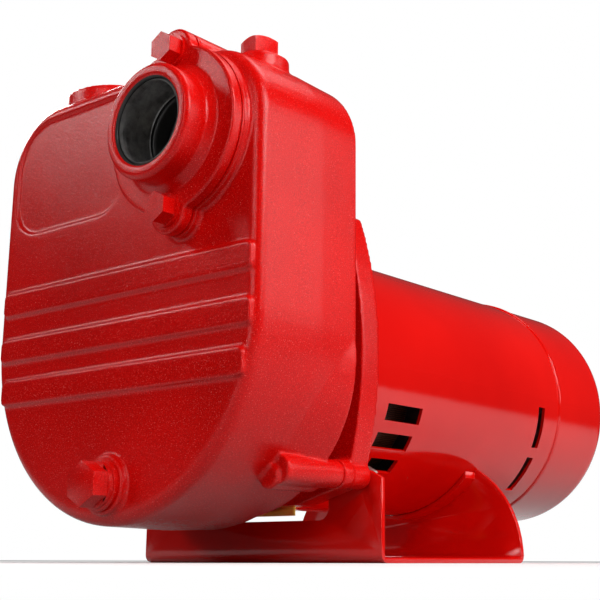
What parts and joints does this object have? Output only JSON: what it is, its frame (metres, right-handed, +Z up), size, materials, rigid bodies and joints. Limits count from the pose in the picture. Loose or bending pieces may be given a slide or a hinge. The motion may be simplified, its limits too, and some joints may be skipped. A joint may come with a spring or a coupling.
{
  "type": "centrifugal water pump",
  "caption": "Self-priming centrifugal water pump: cast red case with side-by-side ports, round electric motor and a pressed steel base.",
  "frame": {"origin": "centre of the base's mounting slots, on the ground", "axes": "+Z up, -Y towards the suction port, +Y along the motor"},
  "size_m": [0.2178, 0.457, 0.2892],
  "materials": {
    "cast_paint": "gloss red enamel over sand-cast iron",
    "sheet_paint": "smooth gloss red enamel over sheet steel",
    "zinc_steel": "zinc plated steel",
    "rubber": "matt black rubber",
    "bare_iron": "dark bare iron",
    "lamination": "varnished steel laminations",
    "brass": "turned brass",
    "stainless": "ground stainless steel",
    "moulded_plastic": "glass-filled moulded plastic",
    "phenolic": "dark phenolic moulding",
    "red_plastic": "red moulded plastic",
    "ceramic": "lapped ceramic",
    "carbon": "lapped carbon",
    "cast_aluminium": "die-cast aluminium",
    "winding": "varnished copper wire",
    "bearing_steel": "polished bearing steel",
    "label": "plain yellow label",
    "green_steel": "green ground screw"
  },
  "bodies": {
    "pump": {"pump_case": "cast_paint", "bracket_o_ring": "rubber", "motor_bracket": "cast_paint", "case_bolts": "zinc_steel", "face_bolts": "zinc_steel", "suction_flange": "cast_paint", "suction_gasket": "rubber", "flange_bolts": "cast_paint", "flapper_pin": "stainless", "diffuser": "moulded_plastic", "diffuser_o_ring": "rubber", "wear_ring": "brass", "seal_cup": "rubber", "seal_seat": "ceramic", "start_switch": "phenolic", "motor_shell": "sheet_paint", "stator_core": "lamination", "front_winding": "winding", "rear_winding": "winding", "front_end_bell": "cast_aluminium", "rear_end_bell": "cast_aluminium", "front_bearing_outer": "bearing_steel", "rear_bearing_outer": "bearing_steel", "wave_washer": "zinc_steel", "through_bolts": "zinc_steel", "terminal_board": "phenolic", "terminals": "brass", "capacitor": "phenolic", "capacitor_clip": "zinc_steel", "overload_protector": "phenolic", "rear_cover": "sheet_paint", "cover_screws": "zinc_steel", "base": "sheet_paint", "base_label": "label", "ground_screw": "green_steel"},
    "rotor": {"impeller": "moulded_plastic", "seal_head": "carbon", "seal_spring": "stainless", "slinger": "rubber", "shaft": "stainless", "rotor_core": "lamination", "rotor_fans": "cast_aluminium", "front_bearing_inner": "bearing_steel", "rear_bearing_inner": "bearing_steel"},
    "front_cage": {"front_bearing_balls": "bearing_steel"},
    "rear_cage": {"rear_bearing_balls": "bearing_steel"},
    "governor_collar": {"governor": "stainless"},
    "switch_slide": {"switch_plunger": "moulded_plastic"},
    "flapper": {"check_flapper": "rubber", "flapper_weight": "bare_iron", "flapper_rivet": "brass"},
    "fill_plug": {"priming_plug": "cast_paint"},
    "drain": {"drain_plug": "cast_paint"},
    "selector": {"voltage_selector": "red_plastic"}
  },
  "joints": [
    {"name": "shaft_spin", "type": "hinge", "parent": "pump", "child": "rotor", "pos_m": [0, 0, 0.1145], "axis": [0, 1, 0], "continuous": true},
    {"name": "front_cage_spin", "type": "hinge", "parent": "pump", "child": "front_cage", "pos_m": [0, -0.064, 0.1145], "axis": [0, 1, 0], "continuous": true},
    {"name": "rear_cage_spin", "type": "hinge", "parent": "pump", "child": "rear_cage", "pos_m": [0, 0.152, 0.1145], "axis": [0, 1, 0], "continuous": true},
    {"name": "governor_slide", "type": "slide", "parent": "rotor", "child": "governor_collar", "axis": [0, 1, 0], "range_m": [-0.006, 0], "stiffness_N_per_m": 400, "springref_m": 0.002},
    {"name": "switch_travel", "type": "slide", "parent": "pump", "child": "switch_slide", "axis": [0, 1, 0], "range_m": [-0.006, 0]},
    {"name": "flapper_swing", "type": "hinge", "parent": "pump", "child": "flapper", "pos_m": [0.0533, -0.1803, 0.256], "axis": [1, 0, 0], "range_deg": [0, 60]},
    {"name": "priming_plug_lift", "type": "slide", "parent": "pump", "child": "fill_plug", "axis": [0, 0, 1], "range_m": [0, 0.03]},
    {"name": "drain_plug_pull", "type": "slide", "parent": "pump", "child": "drain", "axis": [0, -1, 0], "range_m": [0, 0.03]},
    {"name": "voltage_turn", "type": "hinge", "parent": "pump", "child": "selector", "pos_m": [-0.031, 0.17, 0.1145], "axis": [0, 1, 0], "range_deg": [0, 60]}
  ],
  "couplings": [
    {"joint": "front_cage_spin", "follows": "shaft_spin", "ratio": 0.415},
    {"joint": "rear_cage_spin", "follows": "shaft_spin", "ratio": 0.402},
    {"joint": "switch_travel", "follows": "governor_slide", "ratio": 1}
  ]
}
